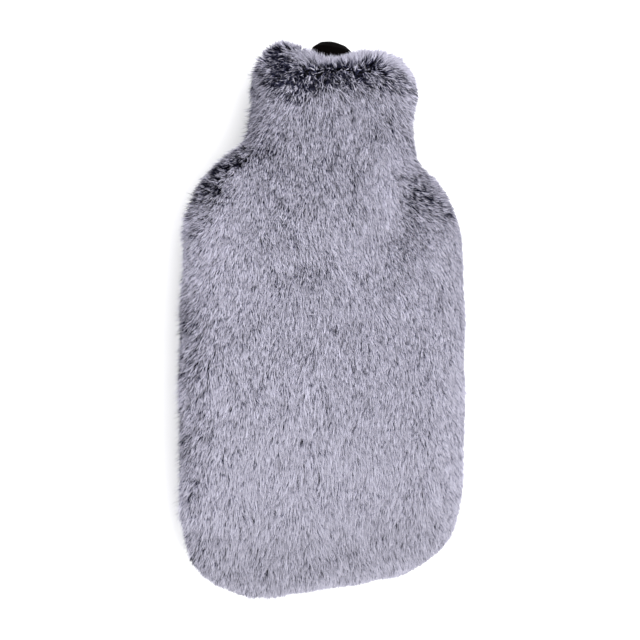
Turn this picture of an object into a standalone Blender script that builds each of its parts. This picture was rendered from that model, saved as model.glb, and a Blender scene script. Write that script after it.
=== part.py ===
"""A long-pile faux-fur cover for a hot water bottle, lying on its back with its rubber bottle inside.

Metres. X runs across, Y from the base to the mouth, Z up from the surface that the cover lies on.
The fur panels reach as far as their pile does, so their outer skin is lumpy and has locks at its rim.
"""

import math
from collections import namedtuple

import bpy
import numpy as np

# Driving dimensions
LENGTH = 0.383  # base edge to the tops of the mouth's lobes
SEAM_HEIGHT = 0.031  # side seam above the resting surface
SEAM_GAP = 0.0003  # between the two panels at their seam
WALL = 0.0095  # cloth and lying pile together
RIM_WALL = 0.0120  # the same at the mouth, where the pile stands fuller
BASE_EDGE_RADIUS = 0.033  # roundness of the base, seen from the side
BASE_BOW = 0.0022  # how far the base's edge is bowed between its corners
BASE_BOW_REACH = 0.070
SQUARENESS = 2.6  # power of the sections' outline: 2 is an ellipse, more is squarer

# Mouth
RIM_START = 0.330  # where the neck starts to follow the rim's dip
DIP_DEPTH = 0.0130
DIP_CENTRE = -0.018
DIP_LEFT = 0.008  # spread of the dip on either side of its centre
DIP_RIGHT = 0.024
LEFT_LOBE_DROP = 0.0055  # the left lobe ends lower than the right one

# Pile
LUMP_HEIGHT = 0.0015
LOCK_HEIGHT = 0.0007
LOCK_PITCH = 0.019
TUFT_HEIGHT = 0.0016  # broad tufts along the sides and the base
TUFT_PITCH = 0.062

# Bottle
BOTTLE_CLEARANCE = 0.0007
BOTTLE_SHOULDER = 0.238  # the bottle fills the cover up to here
LIP_TOP = 0.3863

# Mesh density
FRONT_ROWS, FRONT_COLUMNS = 44, 36
BACK_ROWS, BACK_COLUMNS = 30, 26
BOTTLE_COLUMNS = 32

# Outer form over the pile: heights of the front above the seam and of the back below it,
# and how far the bottle's neck pushes the middle of the front up between the shoulders.
Section = namedtuple("Section", "y half_width centre front back neck_bulge")
SECTIONS = (
    Section(y=0.000, half_width=0.0635, centre=0.0000, front=0.0000, back=0.0000, neck_bulge=0.0),
    Section(y=0.006, half_width=0.0780, centre=0.0000, front=0.0150, back=0.0130, neck_bulge=0.0),
    Section(y=0.018, half_width=0.0965, centre=0.0000, front=0.0243, back=0.0220, neck_bulge=0.0),
    Section(y=0.036, half_width=0.1080, centre=0.0000, front=0.0309, back=0.0290, neck_bulge=0.0),
    Section(y=0.065, half_width=0.1130, centre=0.0000, front=0.0346, back=0.0335, neck_bulge=0.0),
    Section(y=0.120, half_width=0.1144, centre=0.0004, front=0.0357, back=0.0340, neck_bulge=0.0),
    Section(y=0.180, half_width=0.1142, centre=0.0004, front=0.0357, back=0.0340, neck_bulge=0.0),
    Section(y=0.225, half_width=0.1140, centre=0.0004, front=0.0335, back=0.0330, neck_bulge=0.0020),
    Section(y=0.262, half_width=0.1110, centre=0.0014, front=0.0285, back=0.0300, neck_bulge=0.0060),
    Section(y=0.285, half_width=0.0950, centre=0.0016, front=0.0250, back=0.0275, neck_bulge=0.0080),
    Section(y=0.301, half_width=0.0735, centre=0.0000, front=0.0270, back=0.0270, neck_bulge=0.0045),
    Section(y=0.317, half_width=0.0645, centre=-0.0008, front=0.0318, back=0.0275, neck_bulge=0.0),
    Section(y=0.336, half_width=0.0630, centre=0.0000, front=0.0337, back=0.0285, neck_bulge=0.0),
    Section(y=0.352, half_width=0.0655, centre=0.0010, front=0.0335, back=0.0280, neck_bulge=0.0),
    Section(y=0.367, half_width=0.0640, centre=0.0025, front=0.0300, back=0.0255, neck_bulge=0.0),
    Section(y=0.378, half_width=0.0580, centre=0.0025, front=0.0245, back=0.0215, neck_bulge=0.0),
    Section(y=LENGTH, half_width=0.0500, centre=0.0020, front=0.0190, back=0.0175, neck_bulge=0.0),
)
BULGE_HALF_WIDTH = 0.050

# Soft troughs in the front, each from one point to another.
Trough = namedtuple("Trough", "x0 y0 x1 y1 depth width")
TROUGHS = (
    Trough(x0=0.058, y0=0.297, x1=0.040, y1=0.252, depth=0.0040, width=0.011),
    Trough(x0=0.040, y0=0.252, x1=0.020, y1=0.228, depth=0.0026, width=0.013),
    Trough(x0=-0.062, y0=0.300, x1=-0.052, y1=0.262, depth=0.0025, width=0.012),
)

# The bottle above its shoulder: an oval neck that ends in a flared, domed lip.
Ring = namedtuple("Ring", "y half_width half_depth centre")
NECK_RINGS = (
    Ring(y=0.256, half_width=0.092, half_depth=0.0165, centre=0.0000),
    Ring(y=0.272, half_width=0.070, half_depth=0.0130, centre=0.0000),
    Ring(y=0.286, half_width=0.050, half_depth=0.0115, centre=0.0000),
    Ring(y=0.300, half_width=0.032, half_depth=0.0105, centre=-0.0002),
    Ring(y=0.318, half_width=0.0195, half_depth=0.0100, centre=-0.0005),
    Ring(y=0.340, half_width=0.0152, half_depth=0.0095, centre=-0.0008),
    Ring(y=0.358, half_width=0.0155, half_depth=0.0088, centre=-0.0011),
    Ring(y=0.368, half_width=0.0176, half_depth=0.0084, centre=-0.0013),
    Ring(y=0.376, half_width=0.0178, half_depth=0.0080, centre=-0.0013),
    Ring(y=0.381, half_width=0.0156, half_depth=0.0066, centre=-0.0013),
    Ring(y=0.3846, half_width=0.0105, half_depth=0.0044, centre=-0.0013),
    Ring(y=LIP_TOP, half_width=0.0042, half_depth=0.0018, centre=-0.0013),
)


def smooth_column(name, y):
    """A column of SECTIONS at the stations y, on a monotone cubic through the table."""
    at = np.array([section.y for section in SECTIONS])
    value = np.array([getattr(section, name) for section in SECTIONS])
    step = np.diff(at)
    slope = np.diff(value) / step
    tangent = np.concatenate([slope[:1], np.zeros(len(at) - 2), slope[-1:]])
    same_way = slope[:-1] * slope[1:] > 0
    mean = 2 * slope[:-1] * slope[1:] / np.where(same_way, slope[:-1] + slope[1:], 1)
    tangent[1:-1] = np.where(same_way, mean, 0)
    i = np.clip(np.searchsorted(at, y, side="right") - 1, 0, len(step) - 1)
    t = (y - at[i]) / step[i]
    return (
        value[i] * (1 + 2 * t) * (1 - t) ** 2
        + value[i + 1] * t**2 * (3 - 2 * t)
        + step[i] * (tangent[i] * t * (1 - t) ** 2 - tangent[i + 1] * t**2 * (1 - t))
    )


def smooth_step(value):
    t = np.clip(value, 0, 1)
    return t * t * (3 - 2 * t)


def half_oval(half_width, height, columns):
    """(x, z) at even steps along half an oval, from its left end over the top to its right end."""
    angle = np.linspace(math.pi, 0, 721)
    x = half_width * np.sign(np.cos(angle)) * np.abs(np.cos(angle)) ** (2 / SQUARENESS)
    z = height * np.abs(np.sin(angle)) ** (2 / SQUARENESS)
    z[[0, -1]] = 0
    run = np.concatenate([[0], np.cumsum(np.hypot(np.diff(x), np.diff(z)))])
    even = np.linspace(0, run[-1], columns + 1)
    return np.interp(even, run, x), np.interp(even, run, z)


def half_oval_grid(half_widths, heights, columns):
    """One half oval for each station: arrays of x and z with a row each."""
    ovals = [half_oval(w, h, columns) for w, h in zip(half_widths, heights)]
    return np.array([x for x, _ in ovals]), np.array([z for _, z in ovals])


def neck_bulge(x, y):
    return smooth_column("neck_bulge", y) * np.exp(-((x / BULGE_HALF_WIDTH) ** 4))


def trough_depth(x, y):
    """How far the soft troughs take the front down at each point."""
    depth = np.zeros_like(x)
    for trough in TROUGHS:
        run = np.array([trough.x1 - trough.x0, trough.y1 - trough.y0])
        along = ((x - trough.x0) * run[0] + (y - trough.y0) * run[1]) / (run @ run)
        along = np.clip(along, 0, 1)
        off = np.hypot(x - trough.x0 - along * run[0], y - trough.y0 - along * run[1])
        depth = np.maximum(depth, trough.depth * np.exp(-((off / trough.width) ** 2)))
    return depth


def pile_lumps(x, y):
    """The uneven lie of the pile, between -1 and 1."""
    return (
        np.sin(212 * x + 1.3 * np.sin(61 * y))
        + np.sin(173 * y + 1.1 * np.sin(74 * x) + 0.6)
        + np.sin(131 * (x + y) + 2.1)
        + np.sin(149 * (x - y) + 0.4)
    ) / 4


def broad_tufts(along):
    """Broad tufts along an edge, between -1 and 1."""
    turn = 2 * math.pi / TUFT_PITCH
    return 0.6 * np.sin(turn * along + 0.5) + 0.4 * np.sin(1.7 * turn * along + 2.0)


def rim_dip(x):
    """How far the rim lies below the tops of its lobes."""
    spread = np.where(x < DIP_CENTRE, DIP_LEFT, DIP_RIGHT)
    dip = DIP_DEPTH * np.exp(-(((x - DIP_CENTRE) / spread) ** 2))
    return dip + LEFT_LOBE_DROP * smooth_step((DIP_CENTRE - x) / DIP_LEFT)


def rim_shift(x, y):
    """How far the rim's dip and locks move the points near the mouth."""
    near_rim = smooth_step((y - RIM_START) / (LENGTH - RIM_START))
    locks = LOCK_HEIGHT * np.sin(2 * math.pi * x / LOCK_PITCH)
    return near_rim * (locks - rim_dip(x))


def base_shift(x, y):
    """How far the base's bow and tufts move the points near the base."""
    near_base = 1 - smooth_step(y / BASE_BOW_REACH)
    bow = BASE_BOW * (x / SECTIONS[1].half_width) ** 2
    return near_base * (np.minimum(bow, BASE_BOW) + TUFT_HEIGHT / 2 * broad_tufts(1.6 * x + 0.011))


def stations(rows):
    """Rows from the base to the mouth, closer together round the base's edge and at the rim."""
    share = np.linspace(0, 1, rows + 1)
    eased = 0.5 - 0.5 * np.cos(math.pi * share)
    return LENGTH * (0.45 * share + 0.55 * eased)


def panel_skins(side, rows, columns):
    """The outer and inner skin of the front (side 1) or back (side -1) panel, as grids of points."""
    y = stations(rows)
    half_width = smooth_column("half_width", y)
    centre = smooth_column("centre", y)[:, None]
    height = smooth_column("front" if side > 0 else "back", y)
    wall = WALL + (RIM_WALL - WALL) * smooth_step((y - RIM_START) / (LENGTH - RIM_START))

    # The offset turns from the base's own direction to straight in as the edge rounds off.
    to_edge = np.clip(1 - y / BASE_EDGE_RADIUS, 0, 1)
    inward = wall * np.sqrt(1 - to_edge**2)
    endward = wall * to_edge

    # Round the rim, the two skins meet in the middle of the wall.
    to_rim = np.clip((y - LENGTH + RIM_WALL / 2) / (RIM_WALL / 2), 0, 0.98)
    rounding = RIM_WALL / 2 * (1 - np.sqrt(1 - to_rim**2))

    outer_x, outer_z = half_oval_grid(half_width - rounding, height - rounding, columns)
    inset = inward - rounding
    inner_height = np.maximum(height - inset, 0)
    inner_x, inner_z = half_oval_grid(half_width - inset, inner_height, columns)
    outer_y = np.repeat(y[:, None], columns + 1, axis=1)
    inner_y = outer_y + endward[:, None]

    # The pile's lumps lift the skin away from the seam, and its tufts push the edge out sideways.
    above_seam = outer_z / np.maximum(height[:, None], 1e-6)
    outer_z = outer_z + LUMP_HEIGHT * pile_lumps(outer_x, outer_y + side) * np.clip(2 * above_seam, 0, 1)
    off_base = smooth_step(outer_y / BASE_EDGE_RADIUS)
    beside = np.sign(outer_x) * (1 - np.clip(above_seam, 0, 1)) * off_base
    tufted_x = outer_x + TUFT_HEIGHT * broad_tufts(outer_y) * beside

    if side > 0:
        lift = np.sqrt(np.clip(above_seam, 0, 1))
        outer_z = outer_z + lift * (neck_bulge(outer_x, outer_y) - trough_depth(outer_x, outer_y))
        inner_lift = np.sqrt(np.clip(inner_z / np.maximum(inner_height[:, None], 1e-6), 0, 1))
        inner_z = inner_z + inner_lift * neck_bulge(inner_x, np.minimum(inner_y, LENGTH))

    outer_y = outer_y + rim_shift(outer_x, outer_y) + base_shift(outer_x, outer_y)
    inner_y = inner_y + rim_shift(inner_x, inner_y) + base_shift(inner_x, inner_y)
    seam = SEAM_HEIGHT + side * SEAM_GAP / 2
    outer = np.stack([tufted_x + centre, outer_y, seam + side * np.maximum(outer_z, 0)], axis=-1)
    inner = np.stack([inner_x + centre, inner_y, seam + side * np.maximum(inner_z, 0)], axis=-1)
    outer[..., 2] = np.maximum(outer[..., 2], 0)
    return outer, inner


def grid_faces(rows, columns, first):
    """Quads over a grid whose points start at the index first."""
    width = columns + 1
    return [
        (first + r * width + c, first + r * width + c + 1,
         first + (r + 1) * width + c + 1, first + (r + 1) * width + c)
        for r in range(rows)
        for c in range(columns)
    ]


def border(rows, columns):
    """Indices of a grid's border, once round."""
    width = columns + 1
    base = list(range(columns))
    right = [r * width + columns for r in range(rows)]
    rim = [rows * width + c for c in range(columns, 0, -1)]
    left = [r * width for r in range(rows, 0, -1)]
    return base + right + rim + left


def material(name, colour, roughness):
    made = bpy.data.materials.new(name)
    made.use_nodes = True
    shader = made.node_tree.nodes["Principled BSDF"]
    shader.inputs["Base Color"].default_value = (*colour, 1)
    shader.inputs["Roughness"].default_value = roughness
    return made


def mesh_object(name, points, faces, look, collection):
    mesh = bpy.data.meshes.new(name)
    mesh.from_pydata([tuple(p) for p in points], [], faces)
    mesh.validate()
    mesh.materials.append(look)
    mesh.shade_smooth()
    mesh.set_sharp_from_angle(angle=math.radians(50))
    made = bpy.data.objects.new(name, mesh)
    collection.objects.link(made)
    return made


def panel_mesh(side, rows, columns):
    """Points and faces of a panel: two skins, joined along the seam, the base and the rim."""
    outer, inner = panel_skins(side, rows, columns)
    count = (rows + 1) * (columns + 1)
    points = np.concatenate([outer.reshape(-1, 3), inner.reshape(-1, 3)])
    faces = grid_faces(rows, columns, 0)
    faces += [face[::-1] for face in grid_faces(rows, columns, count)]
    edge = border(rows, columns)
    for a, b in zip(edge, edge[1:] + edge[:1]):
        faces.append((b, a, a + count, b + count))
    if side < 0:
        faces = [face[::-1] for face in faces]
    return points, faces


def bottle_rings():
    """Stations of the bottle: (y, half width, top, bottom, centre), from its base to its lip."""
    y = stations(FRONT_ROWS)
    y = y[y < BOTTLE_SHOULDER][1::2]
    to_edge = np.clip(1 - y / BASE_EDGE_RADIUS, 0, 1)
    clear = WALL + BOTTLE_CLEARANCE * (1 + 2 * to_edge)
    inset = clear * np.sqrt(1 - to_edge**2)
    end = clear * to_edge
    half_width = smooth_column("half_width", y) - inset
    top = smooth_column("front", y) - inset
    bottom = smooth_column("back", y) - inset
    rings = list(zip(y + end, half_width, top, bottom, np.zeros(len(y))))
    rings += [(ring.y, ring.half_width, ring.half_depth, ring.half_depth, ring.centre) for ring in NECK_RINGS]
    return rings


def oval_cap(first, columns):
    """Faces across an oval ring, from its upper points to the lower ones below them."""
    faces = [(first, first + 1, first + columns - 1)]
    for c in range(1, columns // 2 - 1):
        faces.append((first + c, first + c + 1, first + columns - c - 1, first + columns - c))
    last = first + columns // 2
    return faces + [(last - 1, last, last + 1)]


def bottle_mesh():
    """Points and faces of the bottle: ovals along its length, with a cap at each end."""
    points = []
    half = BOTTLE_COLUMNS // 2
    for y, half_width, top, bottom, centre in bottle_rings():
        upper_x, upper_z = half_oval(half_width, top, half)
        lower_x, lower_z = half_oval(half_width, bottom, half)
        x = np.concatenate([upper_x, lower_x[-2:0:-1]])
        z = np.concatenate([upper_z, -lower_z[-2:0:-1]])
        points.append(np.stack([x + centre, y + base_shift(x, y), SEAM_HEIGHT + z], axis=-1))
    faces = []
    for ring in range(len(points) - 1):
        first = ring * BOTTLE_COLUMNS
        for c in range(BOTTLE_COLUMNS):
            n = (c + 1) % BOTTLE_COLUMNS
            above = first + BOTTLE_COLUMNS
            faces.append((first + c, first + n, above + n, above + c))
    faces += [face[::-1] for face in oval_cap(0, BOTTLE_COLUMNS)]
    faces += oval_cap((len(points) - 1) * BOTTLE_COLUMNS, BOTTLE_COLUMNS)
    return np.concatenate(points), faces


def main():
    for old in list(bpy.data.objects):
        bpy.data.objects.remove(old)
    collection = bpy.data.collections.new("hot_water_bottle_cover")
    bpy.context.scene.collection.children.link(collection)

    fur = material("fur", (0.42, 0.42, 0.50), 0.9)
    fur_back = material("fur_back", (0.38, 0.38, 0.46), 0.9)
    rubber = material("rubber", (0.012, 0.010, 0.011), 0.45)

    pieces = {
        "front_panel": (*panel_mesh(1, FRONT_ROWS, FRONT_COLUMNS), fur),
        "back_panel": (*panel_mesh(-1, BACK_ROWS, BACK_COLUMNS), fur_back),
        "bottle": (*bottle_mesh(), rubber),
    }
    everything = np.concatenate([points for points, _, _ in pieces.values()])
    middle = (everything.min(axis=0) + everything.max(axis=0)) / 2
    shift = np.array([-middle[0], -middle[1], 0])
    for name, (points, faces, look) in pieces.items():
        mesh_object(name, points + shift, faces, look, collection)


main()
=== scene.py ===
"""A faux-fur cover lying on its back, with the lip of its rubber bottle in the mouth.

Metres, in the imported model's frame: X across, Y from the base to the mouth, Z up. Each fur panel
is a thin cloth inside its CAD solid, and its pile fills the solid out to its skin.
"""

import math
from collections import namedtuple

import bpy
import numpy as np
from mathutils import Matrix, Vector
from mathutils.bvhtree import BVHTree
from mathutils.kdtree import KDTree


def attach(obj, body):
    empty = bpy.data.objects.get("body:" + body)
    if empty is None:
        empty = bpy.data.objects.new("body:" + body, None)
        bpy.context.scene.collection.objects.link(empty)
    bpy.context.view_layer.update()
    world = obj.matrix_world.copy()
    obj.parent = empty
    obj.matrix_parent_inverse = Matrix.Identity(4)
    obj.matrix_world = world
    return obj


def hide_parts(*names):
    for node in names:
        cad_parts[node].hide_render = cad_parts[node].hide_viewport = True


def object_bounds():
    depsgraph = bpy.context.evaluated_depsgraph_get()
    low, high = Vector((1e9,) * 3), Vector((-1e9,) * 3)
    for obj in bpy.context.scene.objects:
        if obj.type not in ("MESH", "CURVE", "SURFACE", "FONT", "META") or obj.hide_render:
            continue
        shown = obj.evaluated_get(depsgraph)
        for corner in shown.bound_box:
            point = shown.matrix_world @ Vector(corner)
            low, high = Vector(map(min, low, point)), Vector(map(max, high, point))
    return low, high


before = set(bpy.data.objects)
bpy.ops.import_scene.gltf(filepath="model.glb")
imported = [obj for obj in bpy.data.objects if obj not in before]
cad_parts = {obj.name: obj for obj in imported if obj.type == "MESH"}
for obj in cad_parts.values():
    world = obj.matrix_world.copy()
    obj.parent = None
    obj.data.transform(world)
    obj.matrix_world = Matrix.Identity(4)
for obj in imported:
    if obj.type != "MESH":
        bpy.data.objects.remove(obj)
cad_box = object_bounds()

# The camera, from the photo's outline: it stands to the cover's left and looks at its middle.
YAW, PITCH, ROLL = math.radians(32.11), math.radians(-2.3), math.radians(0.45)
DISTANCE = 0.664
AIM = 0.1922  # how far along Y from the base the camera's aim lies
FOCAL_PIXELS, IMAGE_PIXELS = 936.83, 640
OFF_CENTRE = (-12.4, -5.1)  # the picture's middle, in pixels right of and above the aim
SENSOR = 0.036

SEAM = 0.031  # height of the side seam
BASE_Y = cad_box[0].y
CLOTH = 0.0012  # thickness of the knitted back of the fur
CLOTH_OFF_INNER = 0.0006  # gap between the solid's inner skin and the cloth
PILE_HEIGHT = 0.0077
LEAST_PILE, MOST_PILE = 0.006, 0.010  # its height follows the CAD skin between these
RIM_PILE = 0.0075  # the cloth ends this far short of the pile's rim
FLOOR_GAP = 0.0003  # the pile's lowest points lie this far above the floor

# The CAD panels' skins
CORE_Y, CORE_HALF_WIDTH = (0.05, 0.09), (0.075, 0.030)  # a flat core that both skins lie round
CORE_OFF_BASE = 0.040
SKIN_FACING = 0.01  # a skin's faces look to or from the core by more than this
SEAM_FACE, SEAM_EDGE, SEAM_RIM = 0.0004, 0.0012, 0.0015  # this near the seam's height is on it
RIM_FACING, RIM_FACE_Y = 0.8, 0.165
RIM_EDGE_Y, CLOTH_EDGE_Y = 0.16, 0.15  # open edges past here are the mouth's
RAY_LENGTH = 0.03  # how far off the cloth the outer skin is looked for

# Pile
FRONT_STRANDS = 322000
BACK_STRANDS = 126000
RIM_STRANDS = 5000
SEAM_STRANDS = 7000
UNDERSIDE_FACING, UNDERSIDE_PILE = -0.85, 0.45  # pile is sparser where the back faces the floor
STRAND_LENGTH = 0.0125
LOWER_PART = 0.58  # share of a strand below its bend
LOW_STAND = 0.95  # how much more a strand stands up below its bend than above it
STRAND_WIDTH = 0.00044
TWIST = 0.45  # scatter of the way that a strand's flat side faces
CLUMP_AREA = 4.5e-6
MOUTH_CLUMPS = 1.2  # how many more clumps there are near the mouth, as a share
ACROSS_SQUEEZE, ALONG_SQUEEZE = 1.35, 0.62  # a clump is longer along the pile than across it

# The map that gives the colours: across it the tone, up it the place along a strand
TONE_WIDTH, MAP_EDGE, ROOT_COLOUR = 0.0035, 0.01, 0.005
MIDDLE_COLOURS, TIP_COLOURS = (0.1, 0.9), (0.2, 0.995)

# Soft limits: where something starts, and how much further on it is full. A negative reach runs
# towards lower values. They are measured in metres, and walls and edges by the normal.
Limit = namedtuple("Limit", "start reach")
FRONT, UPPER_SIDE = Limit(SEAM, 0.006), Limit(SEAM - 0.004, 0.006)
LOW_SIDE, OFF_FLOOR = Limit(SEAM + 0.013, -0.012), Limit(0.018, 0.014)
LEFT_WALL, RIGHT_WALL, BASE_WALL = Limit(-0.3, -0.5), Limit(0.3, 0.5), Limit(0.0, -0.45)
SIDE_EDGE = Limit(0.7, 0.25)
FAR_LEFT, FAR_OUT, INNER = Limit(-0.100, -0.008), Limit(0.095, 0.010), Limit(0.095, -0.025)
LEFT_LOBE, RIGHT_OF_LOBE = Limit(-0.038, -0.008), Limit(-0.042, 0.007)
NEAR_BASE, BY_BASE, OFF_BASE = Limit(-0.130, -0.05), Limit(-0.11, -0.06), Limit(-0.172, 0.03)
LOWER_HALF, UPPER_HALF = Limit(0.015, -0.06), Limit(-0.08, 0.08)
BELOW_SHOULDER, BELOW_NECK, NECK = Limit(0.068, -0.010), Limit(0.09, -0.02), Limit(0.05, 0.06)
NEAR_MOUTH, BELOW_MOUTH = Limit(0.128, 0.02), Limit(0.150, -0.010)
CALM_BASE, CALM_RIGHT = Limit(-0.02, -0.08), Limit(0.055, 0.04)
OFF_RIM = Limit(RIM_PILE + 0.001, 0.005)  # by the way left to the pile's rim
TURN_AT_LINE, PALE_RIM = Limit(-0.002, 0.004), Limit(0.0012, 0.003)  # above the mouth's line
OVER_PARTING = Limit(-0.0048, 0.006)  # by the way outward from a parting's line

# Smooth unevenness: how much, over what length, and the seed of its draws
Wave = namedtuple("Wave", "depth length seed")
WAVE_PARTS, WAVE_LENGTHS, WAVE_SIZE = 7, (0.7, 1.6), 2.6
SWAY, RIPPLE = Wave(0.12, 0.045, 11), Wave(0.16, 0.014, 12)  # in the sideways flow
STAND_WAVE, LINE_WAVE = Wave(0.09, 0.018, 13), Wave(0.0015, 0.012, 15)
DARK_WAVE = Wave(0.02, 0.020, 16)

# The flow: how the pile leans, against 1 towards the base. It leans outward on both sides of the
# middle, and changes sides over MIDDLE.
MIDDLE, OUTWARD, OUTWARD_AT_EDGE = 0.012, 0.06, 0.40
BASE_SWEEP = 0.28  # towards positive X, round the base's edge
SEAM_TURN, SEAM_PULL, SEAM_REACH, BASE_PULL = 0.0015, 0.5, 0.007, 0.3  # towards the side seam

# How much of the pile's dark part shows, from PALEST to 1, and where more of it does. Some of it is
# painted shade and light, as said below.
PALEST = -0.6
PLAIN_DARK_WAVES, NECK_DARK_WAVES = 3, 2  # how often DARK_WAVE counts, and how much more there
# The neck is darker and the lower part paler, partly from how the pile lies and partly as painted
# shade and light over the length of the cover.
LOWER_DARK, NECK_DARK, BASE_DARK, BASE_WALL_DARK = -0.14, 0.12, 0.13, 0.15
# On the left wall more of the dark roots show, and painted shade darkens it further, on the side
# away from the key light.
LEFT_DARK_AND_SHADE, LEFT_TOP_SHARE = 0.34, 0.35  # the left wall's, and the share of it high up
FAR_LEFT_LOSS = 0.5  # what brushed places lose high up on the far left
PARTED_DARK, PARTED_RUFFLE = 0.95, 0.35

# How far the pile stands up, and how far it may pass its plain height
Raise = namedtuple("Raise", "mouth parting base_wall right_wall")
STAND, LEAST_STAND, MOST_STAND = 0.22, 0.05, 1.6
MORE_STAND, MORE_LIFT = Raise(0.25, 0.30, 0.12, 0.20), Raise(0, 0.35, 0, 0.12)

# The mouth: below its line the pile runs down the cover, above it the other way, and its dark part
# shows round the line. up_x and up_y give the flow above the line, which is up along the rim and
# outward and down on the two lobes. down_x is the sideways flow just below it. The band of dark
# reaches above and below the line by those columns, and is as strong as deep says.
Mouth = namedtuple("Mouth", "x line up_x up_y above below down_x deep")
MOUTH = (
    Mouth(-0.0700, 0.1580, -1.20, -0.90, 0.040, 0.0070, -0.80, 0.20),
    Mouth(-0.0565, 0.1570, -1.20, -0.90, 0.040, 0.0070, -0.70, 0.22),
    Mouth(-0.0535, 0.1570, -1.20, -0.90, 0.040, 0.0080, -0.60, 0.65),
    Mouth(-0.0505, 0.1570, -1.20, -0.80, 0.042, 0.0085, -0.50, 1.12),
    Mouth(-0.0450, 0.1572, -1.20, -0.60, 0.034, 0.0100, -0.35, 1.20),
    Mouth(-0.0400, 0.1585, -1.20, -0.30, 0.010, 0.0120, -0.25, 1.18),
    Mouth(-0.0360, 0.1598, -1.10, 0.10, 0.006, 0.0125, -0.10, 1.15),
    Mouth(-0.0290, 0.1611, -1.00, 0.35, 0.005, 0.0090, 0.00, 1.10),
    Mouth(-0.0180, 0.1627, -0.90, 0.60, 0.005, 0.0100, 0.00, 1.05),
    Mouth(-0.0060, 0.1663, -0.70, 0.90, 0.005, 0.0125, 0.10, 1.00),
    Mouth(0.0060, 0.1679, -0.40, 1.00, 0.005, 0.0105, 0.25, 1.00),
    Mouth(0.0170, 0.1700, 0.20, 0.90, 0.005, 0.0080, 0.40, 0.95),
    Mouth(0.0260, 0.1706, 0.70, 0.30, 0.004, 0.0075, 0.55, 0.75),
    Mouth(0.0360, 0.1705, 1.00, -0.30, 0.004, 0.0080, 0.80, 0.65),
    Mouth(0.0480, 0.1690, 1.00, -0.50, 0.005, 0.0090, 0.90, 0.58),
    Mouth(0.0660, 0.1630, 1.00, -0.60, 0.006, 0.0080, 0.80, 0.50),
)
# The line on the back, the band's reach above it and the band's strength
BACK_MOUTH_LINE, BACK_ABOVE, BACK_DEEP = 0.172, 0.004, 0.35
BELOW_REACH, BAND_FULL = 0.022, 0.002  # below the line: down_x's reach, and the full dark's
FAN = 0.05  # at the very rim and on the back, the flow above the line leans by X over this
MOUTH_RISE, MOUTH_FLOW = 0.30, 1.25  # that flow's part along Z, and its strength

# How the pile's sideways flow on the front's lower half differs from plainly outward.
Lean = namedtuple("Lean", "x across")
LEANS = (
    Lean(-0.105, 0.32),
    Lean(-0.086, 0.12),
    Lean(-0.067, -0.14),
    Lean(-0.048, -0.12),
    Lean(-0.030, 0.00),
    Lean(-0.010, -0.10),
    Lean(0.009, -0.24),
    Lean(0.028, -0.36),
    Lean(0.046, -0.34),
    Lean(0.065, -0.12),
    Lean(0.085, 0.00),
)
# The rim beside the lip, where the pile is shorter
LIP_SIDE_X, LIP_SIDE_REACH, LIP_SIDE, LIP_SHORTER = -0.030, 0.010, Limit(0.156, 0.006), 0.28

# Lines beyond which the pile turns outward, so that its dark roots show along them.
PARTING_TURN = 0.9
Parting = namedtuple("Parting", "x0 y0 z0 x1 y1 z1 reach strength flow_x flow_y")
PARTINGS = (
    Parting(-0.0750, 0.1065, 0.036, -0.0928, 0.0890, 0.040, 0.012, 0.58, -1.0, -0.15),
    Parting(-0.0928, 0.0890, 0.040, -0.1046, 0.0770, 0.040, 0.016, 1.00, -1.0, -0.25),
    Parting(-0.1046, 0.0770, 0.040, -0.1095, 0.0690, 0.039, 0.011, 0.75, -1.0, -0.50),
    Parting(0.0370, 0.0975, 0.060, 0.0480, 0.0935, 0.056, 0.008, 0.80, 0.85, -0.60),
    Parting(0.0480, 0.0935, 0.056, 0.0645, 0.0840, 0.053, 0.009, 0.80, 0.85, -0.60),
    Parting(0.0645, 0.0840, 0.053, 0.0862, 0.0758, 0.050, 0.009, 0.80, 0.85, -0.60),
)
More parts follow.
